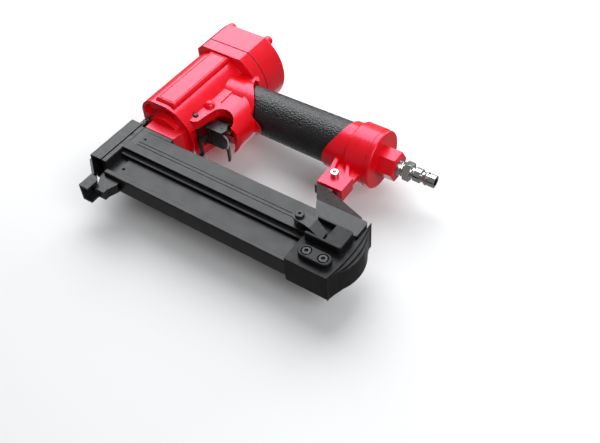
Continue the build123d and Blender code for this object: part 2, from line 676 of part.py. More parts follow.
# ----------------------------------------------------------------------------
# Trigger, its safety lever and the trigger valve
# ----------------------------------------------------------------------------
with BuildPart() as trigger:
    with BuildSketch(Plane.XZ):
        with BuildLine():
            Polyline((26.2, 100.5), (32, 110.3), (43.5, 111), (47.5, 104.5), (46, 99), (30, 98.6), (22, 95.5))
            ThreePointArc((22, 95.5), (19.2, 97.8), (21, 100.2))
            Line((21, 100.2), (26.2, 100.5))
        make_face()
    extrude(amount=TRIGGER_Y, both=True)
    with BuildSketch(Plane.XZ):
        with BuildLine():
            Polyline((0, 90), (34.5, 90), (34.5, 100.4), (50, 100.4), (50, 120), (0, 120), (0, 90))
        make_face()
    extrude(amount=TRIGGER_Y - SHEET, both=True, mode=Mode.SUBTRACT)
    # Curved finger blade behind the web
    with BuildSketch(Plane.XZ):
        with BuildLine():
            ThreePointArc((45.6, 99.8), (54.6, 96.4), (60.5, 88.2))
        trace(line_width=SHEET)
    extrude(amount=7.2, both=True)
    with BuildSketch(Plane.XZ):
        with Locations(TRIGGER_PIVOT):
            Circle(1.5 + GAP)
        with Locations(LEVER_PIVOT):
            Circle(1.2 + GAP)
    extrude(amount=TRIGGER_Y + 1, both=True, mode=Mode.SUBTRACT)
trigger.part.label = "trigger"
export_step(trigger.part, "parts/trigger.step")

with BuildPart() as trigger_pin:
    with BuildSketch(Plane.XZ):
        with Locations(TRIGGER_PIVOT):
            Circle(1.5)
    extrude(amount=NECK_Y, both=True)
    for side in (-1, 1):
        with BuildSketch(Plane.XZ.offset(side * NECK_Y)):
            with Locations(TRIGGER_PIVOT):
                Circle(2.4)
        extrude(amount=side * 1.4)
    fillet(trigger_pin.faces().filter_by(Axis.Y).sort_by(Axis.Y)[0].edges(), radius=0.9)
    fillet(trigger_pin.faces().filter_by(Axis.Y).sort_by(Axis.Y)[-1].edges(), radius=0.9)
trigger_pin.part.label = "trigger_pin"
export_step(trigger_pin.part, "parts/trigger_pin.step")

with BuildPart() as safety_lever:
    with BuildSketch(Plane.XZ):
        with BuildLine():
            Polyline((28.5, 98.5), (33, 98.5), (34, 101), (42.5, 102.6), (44.8, 105), (42.5, 107.2),
                     (40.5, 106.8), (28.5, 101.4), (28.5, 98.5))
        make_face()
    extrude(amount=LEVER_Y, both=True)
    with BuildSketch(Plane.XZ):
        with Locations(LEVER_PIVOT):
            Circle(1.2 + GAP)
    extrude(amount=LEVER_Y + 1, both=True, mode=Mode.SUBTRACT)
safety_lever.part.label = "safety_lever"
export_step(safety_lever.part, "parts/safety_lever.step")

with BuildPart() as safety_lever_pin:
    with BuildSketch(Plane.XZ):
        with Locations(LEVER_PIVOT):
            Circle(1.2)
    extrude(amount=TRIGGER_Y + 0.2, both=True)
safety_lever_pin.part.label = "safety_lever_pin"
export_step(safety_lever_pin.part, "parts/safety_lever_pin.step")

with BuildPart() as trigger_valve_body:
    with BuildSketch(Plane.XY.offset(115)):
        with Locations((VALVE_X, 0)):
            RegularPolygon(8.2, 6)
    extrude(amount=SLOT_CEILING_Z - SNUG - 115)
    with BuildSketch(Plane.XY.offset(118)):
        with Locations((VALVE_X, 0)):
            Circle(VALVE_R - GAP)
    extrude(amount=17)
    for groove_z in (122.0, 129.0):
        with BuildSketch(Plane.XY.offset(groove_z)):
            with Locations((VALVE_X, 0)):
                Circle(VALVE_R + 1)
                Circle(5.9, mode=Mode.SUBTRACT)
        extrude(amount=1.8, mode=Mode.SUBTRACT)
    with BuildSketch(Plane.XY.offset(114)):
        with Locations((VALVE_X, 0)):
            Circle(2.0 + GAP)
    extrude(amount=25, mode=Mode.SUBTRACT)
    with BuildSketch(Plane.XY.offset(SLOT_CEILING_Z)):
        with Locations((VALVE_X, 0)):
            Circle(4.7)
    extrude(amount=13.5, mode=Mode.SUBTRACT)
trigger_valve_body.part.label = "trigger_valve_body"
export_step(trigger_valve_body.part, "parts/trigger_valve_body.step")

with BuildPart() as trigger_valve_stem:
    with BuildSketch(Plane.XY.offset(108.6)):
        with Locations((VALVE_X, 0)):
            Circle(2.0)
    extrude(amount=18)
    with BuildSketch(Plane.XY.offset(121.4)):
        with Locations((VALVE_X, 0)):
            Circle(4.4)
    extrude(amount=1.6)
    fillet(trigger_valve_stem.faces().sort_by(Axis.Z)[0].edges(), radius=0.8)
trigger_valve_stem.part.label = "trigger_valve_stem"
export_step(trigger_valve_stem.part, "parts/trigger_valve_stem.step")

with BuildPart() as trigger_valve_spring:
    with Locations((VALVE_X, 0, 0)):
        add(coil(3.4, 0.4, 123.5, 132.0, 5))
trigger_valve_spring.part.label = "trigger_valve_spring"
export_step(trigger_valve_spring.part, "parts/trigger_valve_spring.step")

with BuildPart() as trigger_valve_seals:
    for groove_z in (122.05, 129.05):
        with BuildSketch(Plane.XY.offset(groove_z)):
            with Locations((VALVE_X, 0)):
                Circle(VALVE_R - 0.01)
                Circle(5.95, mode=Mode.SUBTRACT)
        extrude(amount=1.7)
trigger_valve_seals.part.label = "trigger_valve_seals"
export_step(trigger_valve_seals.part, "parts/trigger_valve_seals.step")

# ----------------------------------------------------------------------------
# Nose: driver guide, front plate and their screws
# ----------------------------------------------------------------------------
GUIDE_Y = 5.3             # between the cheeks of the fixed magazine
GUIDE_LOW_Y = 4.2         # between the cheeks of the sliding magazine
GUIDE_STEP_Z = 42.8
SHOULDER_Z = 50.3
GUIDE_FLANGE_Z = 66.7
NOSE_PLATE_Z = (22.0, 69.5)
NOSE_SCREWS = [(-8.5, 58.0), (8.5, 58.0), (0.0, 30.0)]

with BuildPart() as driver_guide:
    with BuildSketch(Plane.XZ):
        with BuildLine():
            Polyline((GUIDE_FRONT_X, GUIDE_STEP_Z), (GUIDE_FRONT_X, 14), (-5, 3), (-5, 0), (5, 0), (5, 4),
                     (GUIDE_REAR_X, 12), (GUIDE_REAR_X, GUIDE_STEP_Z), (GUIDE_FRONT_X, GUIDE_STEP_Z))
        make_face()
    extrude(amount=GUIDE_LOW_Y, both=True)
    with BuildSketch(Plane.XY.offset(GUIDE_STEP_Z)):
        with Locations(((GUIDE_FRONT_X + GUIDE_REAR_X) / 2, 0)):
            Rectangle(GUIDE_REAR_X - GUIDE_FRONT_X, 2 * GUIDE_Y)
    extrude(amount=GUIDE_FLANGE_Z - GUIDE_STEP_Z)
    with BuildSketch(Plane.XY.offset(SHOULDER_Z)):
        with Locations(((GUIDE_FRONT_X - 3.6) / 2, 0)):
            Rectangle(-GUIDE_FRONT_X - 3.6, 24)
    extrude(amount=GUIDE_FLANGE_Z - SHOULDER_Z)
    with BuildSketch(Plane.XY.offset(GUIDE_FLANGE_Z)):
        with Locations(((GUIDE_FRONT_X + 19) / 2, 0)):
            Rectangle(19 - GUIDE_FRONT_X, 24)
    extrude(amount=BOSS_Z - SNUG / 2 - GUIDE_FLANGE_Z)
    # Channel for the blade, and the throat that fasteners come in by
    with BuildSketch(Plane.XY.offset(-1)):
        Rectangle(BLADE_T + 0.16, BLADE_W + 0.16)
    extrude(amount=80, mode=Mode.SUBTRACT)
    with BuildSketch(Plane.XY.offset(12)):
        with Locations((6, 0)):
            Rectangle(12, BLADE_W + 0.5)
    extrude(amount=52, mode=Mode.SUBTRACT)
    with Locations((GUIDE_SCREW_X, 0, GUIDE_FLANGE_Z)):
        with GridLocations(*GUIDE_SCREW_PITCH, 2, 2):
            Cylinder(1.75 + GAP, 8, align=(Align.CENTER, Align.CENTER, Align.MIN), mode=Mode.SUBTRACT)
            Cone(3.3, 1.75 + GAP, 1.7, align=(Align.CENTER, Align.CENTER, Align.MIN), mode=Mode.SUBTRACT)
    with BuildSketch(Plane.YZ.offset(GUIDE_FRONT_X)):
        with Locations(*NOSE_SCREWS):
            Circle(2.0 + GAP)
    extrude(amount=7, mode=Mode.SUBTRACT)
    # Holes for the two roll pins through the fixed magazine's cheeks
    with BuildSketch(Plane.XZ):
        with Locations((0, 57.5)):
            Circle(1.3 + GAP)
    extrude(amount=7, both=True, mode=Mode.SUBTRACT)
driver_guide.part.label = "driver_guide"
export_step(driver_guide.part, "parts/driver_guide.step")

with BuildPart() as guide_screws:
    with Locations((GUIDE_SCREW_X, 0, GUIDE_FLANGE_Z)):
        with GridLocations(*GUIDE_SCREW_PITCH, 2, 2):
            Cylinder(1.75, 12, align=(Align.CENTER, Align.CENTER, Align.MIN))
            Cone(3.2, 1.75, 1.6, align=(Align.CENTER, Align.CENTER, Align.MIN))
guide_screws.part.label = "guide_screws"
export_step(guide_screws.part, "parts/guide_screws.step")

with BuildPart() as nose_front_plate:
    with BuildSketch(Plane.YZ.offset(GUIDE_FRONT_X - SNUG / 2)):
        with Locations((0, (NOSE_PLATE_Z[0] + NOSE_PLATE_Z[1]) / 2)):
            Rectangle(24, NOSE_PLATE_Z[1] - NOSE_PLATE_Z[0])
    extrude(amount=-NOSE_PLATE_T)
    chamfer(nose_front_plate.edges().filter_by(Axis.Z), length=0.6)
    with BuildSketch(Plane.YZ.offset(GUIDE_FRONT_X)):
        with Locations(*NOSE_SCREWS):
            Circle(2.0 + GAP)
    extrude(amount=-8, mode=Mode.SUBTRACT)
    with BuildSketch(Plane.YZ.offset(GUIDE_FRONT_X - NOSE_PLATE_T - 1)):
        with Locations(*NOSE_SCREWS):
            Circle(3.7)
    extrude(amount=3.4, mode=Mode.SUBTRACT)
nose_front_plate.part.label = "nose_front_plate"
export_step(nose_front_plate.part, "parts/nose_front_plate.step")

with BuildPart() as nose_screws:
    seat_x = GUIDE_FRONT_X - NOSE_PLATE_T + 2.3
    for screw_y, screw_z in NOSE_SCREWS:
        with Locations(Plane(origin=(seat_x, screw_y, screw_z), z_dir=(-1, 0, 0))):
            add(socket_screw(3.5, 2.0, 2.0, 9.0, 2.5))
nose_screws.part.label = "nose_screws"
export_step(nose_screws.part, "parts/nose_screws.step")

# ----------------------------------------------------------------------------
# Contact safety: folded bracket and foot, side arm, rivets and springs
# ----------------------------------------------------------------------------
SAFETY_X = (-28.0, -16.2)
SAFETY_Z = (21.5, 71.5)
SAFETY_Y = 12.6
FOOT_Z = -CONTACT_TRAVEL
SHELF_Z = (66.5, 68.5)
ARM_Y = (12.65, 14.65)
ARM_Z = (66.9, 71.5)
FINGER_X = (29.0, 31.8)
FINGER_TOP_Z = 96.2

with BuildPart() as contact_safety:
    # Front web with a cheek on each side
    with BuildSketch(Plane.XY.offset(SAFETY_Z[0])):
        with Locations(((SAFETY_X[0] + SAFETY_X[1]) / 2, 0)):
            Rectangle(SAFETY_X[1] - SAFETY_X[0], 2 * SAFETY_Y)
    extrude(amount=SAFETY_Z[1] - SAFETY_Z[0])
    fillet(contact_safety.edges().filter_by(Axis.Z).sort_by(Axis.X)[:2], radius=1.8)
    with BuildSketch(Plane.XY.offset(SAFETY_Z[0] - 1)):
        with Locations(((SAFETY_X[0] + 1.8 + 5) / 2, 0)):
            Rectangle(5 - SAFETY_X[0] - 1.8, 2 * (SAFETY_Y - SHEET))
    extrude(amount=80, mode=Mode.SUBTRACT)
    # Shelf for the springs, and the arm that runs up into the rim's pocket
    with BuildSketch(Plane.XY.offset(SHELF_Z[0])):
        with Locations(((SAFETY_X[0] + 1 - 16.4) / 2, 0)):
            Rectangle(-16.4 - SAFETY_X[0] - 1, 2 * SAFETY_Y - 1)
    extrude(amount=SHELF_Z[1] - SHELF_Z[0])
    with BuildSketch(Plane.XY.offset(SHELF_Z[0])):
        with Locations((-21.8, 0)):
            Rectangle(3, 12)
    extrude(amount=84 - SHELF_Z[0])
    # Foot: cranked back under the nose plate, with a finger on each side of the guide
    with BuildSketch(Plane.XZ):
        with BuildLine():
            Polyline((-28, 24), (-26.2, 24), (-26.2, 20.5), (-13.2, 9.5), (-13.2, FOOT_Z), (-15, FOOT_Z),
                     (-15, 8.7), (-28, 19.7), (-28, 24))
        make_face()
    extrude(amount=8, both=True)
    with BuildSketch(Plane.XZ):
        with BuildLine():
            Polyline((-15, 8), (-10, 8), (-5.5, 5), (-5.5, FOOT_Z), (-15, FOOT_Z), (-15, 8))
        make_face()
    extrude(amount=8, both=True)
    with BuildSketch(Plane.XZ):
        with BuildLine():
            Polyline((-13.2, 16), (5, 16), (5, -9), (-13.2, -9), (-13.2, 16))
        make_face()
    extrude(amount=6, both=True, mode=Mode.SUBTRACT)
    with BuildSketch(Plane.XZ):
        with Locations((-24.2, 69.2), (-19.0, 69.2)):
            Circle(1.2 + GAP)
    extrude(amount=-20, mode=Mode.SUBTRACT)
contact_safety.part.label = "contact_safety"
export_step(contact_safety.part, "parts/contact_safety.step")

with BuildPart() as safety_arm:
    with BuildSketch(Plane.XZ):
        with BuildLine():
            Polyline((-27, ARM_Z[0]), (FINGER_X[1], ARM_Z[0]), (FINGER_X[1], 90), (FINGER_X[0], 90),
                     (FINGER_X[0], ARM_Z[1]), (-27, ARM_Z[1]), (-27, ARM_Z[0]))
        make_face()
    extrude(amount=-ARM_Y[1])
    with BuildSketch(Plane.XZ):
        with Locations((0, 80)):
            Rectangle(120, 60)
    extrude(amount=-ARM_Y[0], mode=Mode.SUBTRACT)
    with BuildSketch(Plane.XY.offset(88)):
        with Locations(((FINGER_X[0] + FINGER_X[1]) / 2, (ARM_Y[1] - 2) / 2)):
            Rectangle(FINGER_X[1] - FINGER_X[0], ARM_Y[1] + 2)
    extrude(amount=2)
    with BuildSketch(Plane.XY.offset(88)):
        with Locations(((FINGER_X[0] + FINGER_X[1]) / 2, 0)):
            Rectangle(FINGER_X[1] - FINGER_X[0], 4)
    extrude(amount=FINGER_TOP_Z - 88)
    with BuildSketch(Plane.XZ):
        with Locations((-24.2, 69.2), (-19.0, 69.2)):
            Circle(1.2 + GAP)
    extrude(amount=-20, mode=Mode.SUBTRACT)
safety_arm.part.label = "safety_arm"
export_step(safety_arm.part, "parts/safety_arm.step")

with BuildPart() as safety_rivets:
    for rivet_x in (-24.2, -19.0):
        with BuildSketch(Plane.XZ.offset(-SAFETY_Y + SHEET)):
            with Locations((rivet_x, 69.2)):
                Circle(1.2)
        extrude(amount=-(ARM_Y[1] - SAFETY_Y + SHEET))
        with BuildSketch(Plane.XZ.offset(-ARM_Y[1])):
            with Locations((rivet_x, 69.2)):
                Circle(2.1)
        extrude(amount=-1.0)
safety_rivets.part.label = "safety_rivets"
export_step(safety_rivets.part, "parts/safety_rivets.step")

with BuildPart() as safety_springs:
    for side in (-1, 1):
        with Locations((-19.4, side * 8.6, 0)):
            add(coil(1.8, 0.35, SHELF_Z[1] + 0.4, BARREL_Z - 0.4, 6))
safety_springs.part.label = "safety_springs"
export_step(safety_springs.part, "parts/safety_springs.step")

# ----------------------------------------------------------------------------
# Fixed magazine: an extrusion open at the bottom, clipped at both ends
# ----------------------------------------------------------------------------
with BuildPart() as fixed_magazine:
    with BuildSketch(Plane.YZ.offset(MAG_FRONT_X)):
        with Locations((0, (MAG_BOTTOM_Z + 41.9) / 2)):
            Rectangle(18, 41.9 - MAG_BOTTOM_Z)
        with Locations((0, (41.9 + MAG_TOP_Z) / 2)):
            Rectangle(2 * MAG_Y, MAG_TOP_Z - 41.9)
        # Cavity for the rail, the slide's wings and the fasteners
        with Locations((0, 45)):
            Rectangle(2 * (RAIL_Y + 0.3), 20, mode=Mode.SUBTRACT)
        with Locations((0, 41.0)):
            Rectangle(15.4, 3.4, mode=Mode.SUBTRACT)
        with Locations((0, 52.85)):
            Rectangle(11.2, 20.3, mode=Mode.SUBTRACT)
        # Fine grooves along both sides
        for groove_z in (49.9, 53.1):
            with Locations((-MAG_Y, groove_z), (MAG_Y, groove_z)):
                Rectangle(0.9, 0.45, mode=Mode.SUBTRACT)
    extrude(amount=200 - MAG_FRONT_X)
    fillet(fixed_magazine.edges().filter_by(Axis.X).filter_by(
        lambda e: abs(e.center().Z - MAG_TOP_Z) < 0.1 and abs(e.center().Y) > 12), radius=1.2)
    # The front ends step back above and below the main strip
    with BuildSketch(Plane.XZ):
        with Locations((-8, 60)):
            Rectangle(10, 20)
    extrude(amount=20, both=True, mode=Mode.SUBTRACT)
    with BuildSketch(Plane.XZ):
        with Locations((0, 50)):
            Rectangle(2 * GUIDE_REAR_X + 0.6, 40)
    extrude(amount=GUIDE_Y + 0.3, both=True, mode=Mode.SUBTRACT)
    # Behind the slide's tail only the upper part carries on
    with BuildSketch(Plane.XZ):
        with Locations((MAG_END_X + 25, 46.2)):
            Rectangle(50, 20)
    extrude(amount=20, both=True, mode=Mode.SUBTRACT)
    with BuildSketch(Plane.XZ):
        with Locations((0, 57.5)):
            Circle(1.3 + GAP)
        with Locations(LATCH_PIVOT):
            Circle(2.0 + GAP)
    extrude(amount=20, both=True, mode=Mode.SUBTRACT)
fixed_magazine.part.label = "fixed_magazine"
export_step(fixed_magazine.part, "parts/fixed_magazine.step")

with BuildPart() as magazine_pins:
    for side in (-1, 1):
        with BuildSketch(Plane.XZ.offset(side * 3.6)):
            with Locations((0, 57.5)):
                Circle(1.3)
                Circle(0.75, mode=Mode.SUBTRACT)
        extrude(amount=side * 9.0)
magazine_pins.part.label = "magazine_pins"
export_step(magazine_pins.part, "parts/magazine_pins.step")

# ----------------------------------------------------------------------------
# Movable magazine: slides back out of the fixed one, with its tail and pusher
# ----------------------------------------------------------------------------
CORE_END_X = 198.0
CORE_Y = 5.8
with BuildPart() as movable_magazine:
    # Channel-shaped rail with wings that run in the fixed magazine
    with BuildSketch(Plane.YZ.offset(-1)):
        with Locations((0, 48.5)):
            Rectangle(2 * RAIL_Y, 25)
        with Locations((0, 41.0)):
            Rectangle(15.0, 3.0)
        with Locations((0, 52.0)):
            Rectangle(6.0, 16.0, mode=Mode.SUBTRACT)
        with Locations((0, 60.5)):
            Rectangle(1.8, 3.0, mode=Mode.SUBTRACT)
    extrude(amount=MAG_END_X + 1)
    with BuildSketch(Plane.YZ.offset(-1)):
        with Locations((0, 28.5)):
            Rectangle(12.0, 18.8)
    extrude(amount=MAG_END_X + 1)
    with BuildSketch(Plane.YZ.offset(-8)):
        with Locations((0, (SLIDE_BOTTOM_Z + 19.2) / 2)):
            Rectangle(16.0, 19.2 - SLIDE_BOTTOM_Z)
    extrude(amount=MAG_END_X + 8)
    chamfer(movable_magazine.edges().filter_by(Axis.X).filter_by(
        lambda e: abs(e.center().Z - SLIDE_BOTTOM_Z) < 0.1), length=0.8)
    # Core that the tail block is screwed to
    with BuildSketch(Plane.YZ.offset(MAG_END_X - 5)):
        with Locations((0, 29)):
            Rectangle(2 * CORE_Y, 14)
    extrude(amount=CORE_END_X - MAG_END_X + 5)
    # Front end open round the driver guide, with a wall left across the rail behind it
    with BuildSketch(Plane.XZ):
        with Locations((-5.85, 40)):
            Rectangle(28.3, 80)
    extrude(amount=GUIDE_LOW_Y + 0.2, both=True, mode=Mode.SUBTRACT)
    with BuildSketch(Plane.YZ.offset(8.5)):
        with Locations((0, 51.5)):
            Rectangle(6.0, 15.0)
    extrude(amount=1.0)
    with BuildSketch(Plane.YZ.offset(0)):
        with Locations((0, ROD_Z)):
            Circle(1.2 + GAP)
    extrude(amount=20, mode=Mode.SUBTRACT)
    with BuildSketch(Plane.XZ):
        with Locations((2.0, 27)):
            Circle(1.3)
        with Locations((TAIL_SCREW_X[0], TAIL_SCREW_Z), (TAIL_SCREW_X[1], TAIL_SCREW_Z)):
            Circle(2.0 + GAP)
    extrude(amount=20, both=True, mode=Mode.SUBTRACT)
movable_magazine.part.label = "movable_magazine"
export_step(movable_magazine.part, "parts/movable_magazine.step")

with BuildPart() as tail_block:
    with BuildSketch(Plane.XZ):
        with BuildLine():
            Polyline((MAG_END_X + 0.2, SLIDE_BOTTOM_Z), (TAIL_END_X, SLIDE_BOTTOM_Z),
                     (TAIL_END_X, TAIL_TOP_Z), (MAG_END_X + 0.2, TAIL_TOP_Z),
                     (MAG_END_X + 0.2, SLIDE_BOTTOM_Z))
        make_face()
    extrude(amount=12, both=True)
    # Raised block on the left side, with the latch slot open to the front
    with BuildSketch(Plane.XZ.offset(11)):
        with Locations((186.2, 46.5)):
            Rectangle(30.4, 19.0)
    extrude(amount=9)
    fillet(tail_block.edges().filter_by(Axis.Y).filter_by(
        lambda e: e.center().Y < -12.5 and e.center().X > 195), radius=3)
    fillet(tail_block.faces().filter_by(Axis.Y).sort_by(Axis.Y)[0].edges().filter_by(
        lambda e: e.center().X > 172), radius=0.9)
    with BuildSketch(Plane.XZ.offset(14.8)):
        with Locations((178.5, 46.9)):
            Rectangle(17, 15.4)
    extrude(amount=10, mode=Mode.SUBTRACT)
    with BuildSketch(Plane.XZ.offset(14.0)):
        with Locations((186.4, 43.4)):
            Rectangle(1.4, 8.6)
    extrude(amount=3.4)
    # Oval boss with a raised rim round the two tail screws
    with BuildSketch(Plane.XZ.offset(11)):
        with Locations((sum(TAIL_SCREW_X) / 2, TAIL_SCREW_Z)):
            SlotOverall(27, 11)
    extrude(amount=6)
    fillet(tail_block.faces().filter_by(Axis.Y).filter_by(
        lambda f: abs(f.center().Y + 17) < 0.1).edges(), radius=0.7)
    with BuildSketch(Plane.XZ.offset(14.6)):
        with Locations((TAIL_SCREW_X[0], TAIL_SCREW_Z), (TAIL_SCREW_X[1], TAIL_SCREW_Z)):
            Circle(4.2)
    extrude(amount=4, mode=Mode.SUBTRACT)
    with BuildSketch(Plane.XZ):
        with Locations((TAIL_SCREW_X[0], TAIL_SCREW_Z), (TAIL_SCREW_X[1], TAIL_SCREW_Z)):
            Circle(2.0 + GAP)
    extrude(amount=18, both=True, mode=Mode.SUBTRACT)
    # Pocket for the slide's core and socket for the rod's rear end
    with BuildSketch(Plane.YZ.offset(MAG_END_X)):
        with Locations((0, 29)):
            Rectangle(2 * CORE_Y + 0.2, 14.2)
    extrude(amount=CORE_END_X + 0.2 - MAG_END_X, mode=Mode.SUBTRACT)
    with BuildSketch(Plane.YZ.offset(MAG_END_X)):
        with Locations((0, ROD_Z)):
            Circle(1.2 + GAP)
    extrude(amount=8, mode=Mode.SUBTRACT)
    # Sockets for the cover's tongues
    with BuildSketch(Plane.YZ.offset(TAIL_END_X)):
        with Locations((0, 46), (0, 20.5)):
            Rectangle(10.2, 5.2)
    extrude(amount=-4, mode=Mode.SUBTRACT)
tail_block.part.label = "tail_block"
export_step(tail_block.part, "parts/tail_block.step")

# Cover layers: X of the edge, X of the bow, half width, and the step in from top and bottom
COVER_LAYERS = [(203.5, 207.0, 13.0, 0.0), (204.0, 210.2, 11.6, 3.0), (204.0, 213.0, 10.0, 6.0)]
with BuildPart() as tail_cover:
    # Three stepped layers, each bowed to the rear and narrower than the one before
    for start_x, bow_x, half_y, rise in COVER_LAYERS:
        with BuildSketch(Plane.XZ):
            with BuildLine():
                arc = ThreePointArc((start_x, SLIDE_BOTTOM_Z + rise), (bow_x, 44), (start_x, 75 - rise))
                Line(arc @ 1, arc @ 0)
            make_face()
        extrude(amount=half_y, both=True)
    with BuildSketch(Plane.XZ):
        with Locations((203.75, 45)):
            Rectangle(0.5, 60)
    extrude(amount=13, both=True)
    with BuildSketch(Plane.YZ.offset(TAIL_END_X - 3.8)):
        with Locations((0, 46), (0, 20.5)):
            Rectangle(10, 5)
    extrude(amount=5)
tail_cover.part.label = "tail_cover"
export_step(tail_cover.part, "parts/tail_cover.step")

with BuildPart() as tail_screws:
    for screw_x in TAIL_SCREW_X:
        with Locations(Plane(origin=(screw_x, -14.6, TAIL_SCREW_Z), z_dir=(0, -1, 0))):
            add(socket_screw(3.5, 2.6, 2.0, 24.0, 3.0))
tail_screws.part.label = "tail_screws"
export_step(tail_screws.part, "parts/tail_screws.step")

with BuildPart() as pusher_rod:
    with BuildSketch(Plane.YZ.offset(8.6)):
        with Locations((0, ROD_Z)):
            Circle(1.2)
    extrude(amount=MAG_END_X + 7.8 - 8.6)
pusher_rod.part.label = "pusher_rod"
export_step(pusher_rod.part, "parts/pusher_rod.step")

with BuildPart() as pusher:
    with BuildSketch(Plane.YZ.offset(PUSHER_X[0])):
        with Locations((0, 55.4)):
            Rectangle(10.6, 14.4)
        with Locations((0, 54.6)):
            Rectangle(2 * RAIL_Y + 0.2, 13.0, mode=Mode.SUBTRACT)
        with Locations((0, 57.0)):
            Rectangle(1.5, 9.0)
        with Locations((0, ROD_Z)):
            Rectangle(5.6, 6.0)
            Circle(1.2 + GAP, mode=Mode.SUBTRACT)
    extrude(amount=PUSHER_X[1] - PUSHER_X[0])
pusher.part.label = "pusher"
export_step(pusher.part, "parts/pusher.step")

with BuildPart() as pusher_spring:
    with Locations(Plane(origin=(0, 0, ROD_Z), x_dir=(0, 1, 0), z_dir=(1, 0, 0))):
        add(coil(2.1, 0.35, PUSHER_X[1] + 0.5, MAG_END_X - 0.4, 20))
pusher_spring.part.label = "pusher_spring"
export_step(pusher_spring.part, "parts/pusher_spring.step")

# ----------------------------------------------------------------------------
# Magazine bracket, its screw, and the latch
# ----------------------------------------------------------------------------
BEND_Z = 73.0
PLATE_Y = -(MAG_Y + SNUG / 2)

with BuildPart() as magazine_bracket:
    # Plate on the magazine's left side, with an ear under the latch
    with BuildSketch(Plane.XZ.offset(-PLATE_Y)):
        with BuildLine():
            Polyline((157.6, BEND_Z), (202.5, BEND_Z), (202.5, 56.6), (170.4, 56.6), (170.4, 51),
                     (162.5, 45), (159, 44.4))
            ThreePointArc((159, 44.4), (154.4, 49), (159, 53.6))
            Polyline((159, 53.6), (166.5, 57.5), (157.6, BEND_Z))
        make_face()
    extrude(amount=BRACKET_T)
    fillet(magazine_bracket.edges().filter_by(Axis.Y).filter_by(
        lambda e: e.center().X > 202), radius=2)
    # Lip bent round the magazine's rear end
    with BuildSketch(Plane.XY.offset(58.6)):
        with BuildLine():
            Polyline((200.6, PLATE_Y), (202.5, PLATE_Y), (202.5, -9), (200.6, -9), (200.6, PLATE_Y))
        make_face()
    extrude(amount=BEND_Z - 2 - 58.6)
    # Web leaning in from the bend to the lug, with a slanted rear edge
    web_low_y, web_high_y, web_top_z = PLATE_Y - BRACKET_T, -7.6, 93.0
    with BuildSketch(Plane.YZ.offset(140)):
        with BuildLine():
            Polyline((web_low_y, BEND_Z - 0.6), (web_high_y, web_top_z), (web_high_y + BRACKET_T, web_top_z),
                     (web_low_y + BRACKET_T, BEND_Z - 0.6), (web_low_y, BEND_Z - 0.6))
        make_face()
    web = extrude(amount=70, mode=Mode.PRIVATE)
    with BuildSketch(Plane.XZ):
        with BuildLine():
            Polyline((157.9, BEND_Z - 0.6), (143.6, 94), (151.5, 94), (195, 75.6), (198, BEND_Z - 0.6),
                     (157.9, BEND_Z - 0.6))
        make_face()
    web_outline = extrude(amount=30, both=True, mode=Mode.PRIVATE)
    add(web.intersect(web_outline))
    # Shelf under the lug, and the tongue that the screw holds in the lug's slot
    with BuildSketch(Plane.XY.offset(web_top_z - 2.2)):
        with Locations((151.2, (web_high_y + 1.0) / 2)):
            Rectangle(15, 1.0 - web_high_y)
    extrude(amount=2.2)
    with BuildSketch(Plane.XZ):
        with Locations((151.2, (web_top_z - 2.2 + 112) / 2)):
            Rectangle(15, 112 - web_top_z + 2.2)
    extrude(amount=BRACKET_T / 2, both=True)
    with BuildSketch(Plane.XZ):
        with Locations(BRACKET_SCREW, LATCH_PIVOT):
            Circle(2.0 + GAP)
    extrude(amount=20, both=True, mode=Mode.SUBTRACT)
magazine_bracket.part.label = "magazine_bracket"
export_step(magazine_bracket.part, "parts/magazine_bracket.step")

with BuildPart() as bracket_screw:
    with Locations(Plane(origin=(BRACKET_SCREW[0], -LUG_Y, BRACKET_SCREW[1]), z_dir=(0, -1, 0))):
        add(socket_screw(3.5, 4.0, 2.0, 2 * LUG_Y + 1, 3.0))
bracket_screw.part.label = "bracket_screw"
export_step(bracket_screw.part, "parts/bracket_screw.step")

LATCH_Y = -19.3           # middle of the lever's sheet at the pivot
LATCH_T = 1.8
with BuildPart() as latch_lever:
    with BuildSketch(Plane.XY.offset(30)):
        with BuildLine():
            Polyline((150, LATCH_Y), (171.5, LATCH_Y), (183.4, -16.3))
        trace(line_width=LATCH_T)
    extrude(amount=35)
    with BuildSketch(Plane.XZ):
        with BuildLine():
            Polyline((159, 54.3), (170, 53.2), (183, 48.2), (184.2, 46.5), (184.2, 39.6), (177.5, 40.8),
                     (166, 43.2), (159, 43.7))
            ThreePointArc((159, 43.7), (153.7, 49), (159, 54.3))
        make_face()
        with Locations(LATCH_PIVOT):
            Circle(2.1 + GAP, mode=Mode.SUBTRACT)
    extrude(amount=30, both=True, mode=Mode.INTERSECT)
latch_lever.part.label = "latch_lever"
export_step(latch_lever.part, "parts/latch_lever.step")

with BuildPart() as latch_screw:
    seat_y = LATCH_Y - LATCH_T / 2 - GAP
    with Locations(Plane(origin=(LATCH_PIVOT[0], seat_y, LATCH_PIVOT[1]), z_dir=(0, -1, 0))):
        add(socket_screw(3.6, 2.2, 2.0, 12.0, 2.5))
latch_screw.part.label = "latch_screw"
export_step(latch_screw.part, "parts/latch_screw.step")

with BuildPart() as latch_spring:
    # Coil axis along -Y, out of the magazine's left side
    coil_plane = Plane(origin=(LATCH_PIVOT[0], 0, LATCH_PIVOT[1]), x_dir=(-1, 0, 0), z_dir=(0, -1, 0))
    with Locations(coil_plane):
        add(coil(3.6, 0.4, MAG_Y + BRACKET_T + 0.55, -LATCH_Y - LATCH_T / 2 - 0.5, 2.5))
latch_spring.part.label = "latch_spring"
export_step(latch_spring.part, "parts/latch_spring.step")
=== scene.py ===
"""Looks of the pneumatic brad nailer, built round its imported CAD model.

Everything is in metres in the row frame: the driver axis is Z with the nose tip at Z = 0, +X points
back along the handle and +Y is the tool's right side, on which it lies on the floor.
"""

import json
import math

